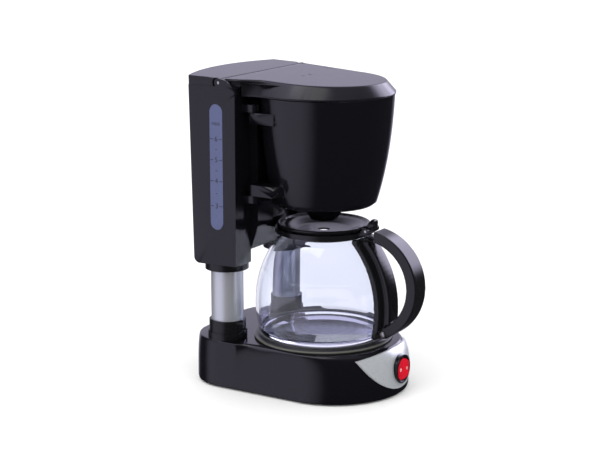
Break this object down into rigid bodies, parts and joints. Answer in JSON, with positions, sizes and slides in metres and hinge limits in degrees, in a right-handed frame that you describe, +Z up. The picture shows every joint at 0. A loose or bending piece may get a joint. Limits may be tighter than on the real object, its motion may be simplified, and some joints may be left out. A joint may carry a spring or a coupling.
{
  "type": "drip coffee maker",
  "caption": "Drip coffee maker: rear water tank on two metal columns, swing-out filter basket, glass jug with handle and lid on a hot plate, and a rocker switch.",
  "frame": {"origin": "on the table, at the middle of the whole outline's width and length", "axes": "+Z up, -Y to the front, where the switch and the jug's handle are, -X to the side with the water gauge"},
  "size_m": [0.132, 0.1944, 0.2645],
  "materials": {
    "gloss_black": "moulded gloss black ABS",
    "black_cover": "moulded black ABS, fine satin",
    "satin_black": "satin black polypropylene",
    "black_inner": "black polypropylene, as moulded",
    "rubber": "dark grey rubber",
    "silicone_hose": "translucent white silicone hose",
    "steel": "zinc-plated steel",
    "plate_enamel": "black non-stick coating on steel",
    "cast_aluminium": "cast and drawn aluminium",
    "column_aluminium": "lengthwise brushed aluminium tube",
    "silver_trim": "silver lacquer on moulded plastic",
    "red_button": "red polycarbonate",
    "gauge_plastic": "bluish translucent styrene",
    "white_plastic": "natural nylon",
    "jug_glass": "clear borosilicate glass"
  },
  "bodies": {
    "frame": {"base_housing": "gloss_black", "bottom_plate": "black_inner", "rubber_feet": "rubber", "bottom_screws": "steel", "cord_gland": "black_inner", "terminal_block": "white_plastic", "hot_plate": "plate_enamel", "hot_plate_seal": "rubber", "heating_element": "cast_aluminium", "water_tube": "cast_aluminium", "element_clamp": "steel", "clamp_screw": "steel", "thermostat": "cast_aluminium", "thermal_fuse": "white_plastic", "front_trim": "silver_trim", "switch_body": "black_inner", "switch_pin": "steel", "lower_collars": "black_inner", "column_tubes": "column_aluminium", "upper_collars": "black_inner", "tank_housing": "gloss_black", "water_gauge": "gauge_plastic", "hose_grommets": "rubber", "cold_hose": "silicone_hose", "check_valve": "white_plastic", "hot_hose": "silicone_hose", "spray_head": "black_inner", "top_cover": "black_cover", "lid_pins": "steel", "filter_stem": "gloss_black", "basket_pins": "steel"},
    "rocker": {"switch_rocker": "red_button"},
    "lid": {"tank_lid": "black_cover"},
    "basket": {"filter_basket": "gloss_black", "filter_cone": "black_inner", "drip_seal": "rubber", "plunger_spring": "steel"},
    "plunger": {"drip_plunger": "black_inner"},
    "jug": {"jug_glass": "jug_glass", "jug_collar": "satin_black", "jug_handle": "satin_black", "handle_screw": "steel", "jug_lid_pin": "steel"},
    "jug_cap": {"jug_lid": "satin_black"}
  },
  "joints": [
    {"name": "rocker_tilt", "type": "hinge", "parent": "frame", "child": "rocker", "pos_m": [0, -0.07765, 0.0229], "axis": [0, 0, 1], "range_deg": [0, 18]},
    {"name": "lid_hinge", "type": "hinge", "parent": "frame", "child": "lid", "pos_m": [0, 0.05525, 0.25939], "axis": [1, 0, 0], "range_deg": [0, 90]},
    {"name": "basket_swing", "type": "hinge", "parent": "frame", "child": "basket", "pos_m": [-0.052, 0.03025, 0.2], "axis": [0, 0, -1], "range_deg": [0, 90]},
    {"name": "drip_valve", "type": "slide", "parent": "basket", "child": "plunger", "axis": [0, 0, 1], "range_m": [0, 0.003], "stiffness_N_per_m": 60, "springref_m": -0.004, "deforming": ["plunger_spring"]},
    {"name": "jug_slide", "type": "slide", "parent": "frame", "child": "jug", "axis": [0, -1, 0], "range_m": [0, 0.16]},
    {"name": "jug_lid_hinge", "type": "hinge", "parent": "jug", "child": "jug_cap", "pos_m": [0, -0.05045, 0.1378], "axis": [1, 0, 0], "range_deg": [0, 6]}
  ]
}
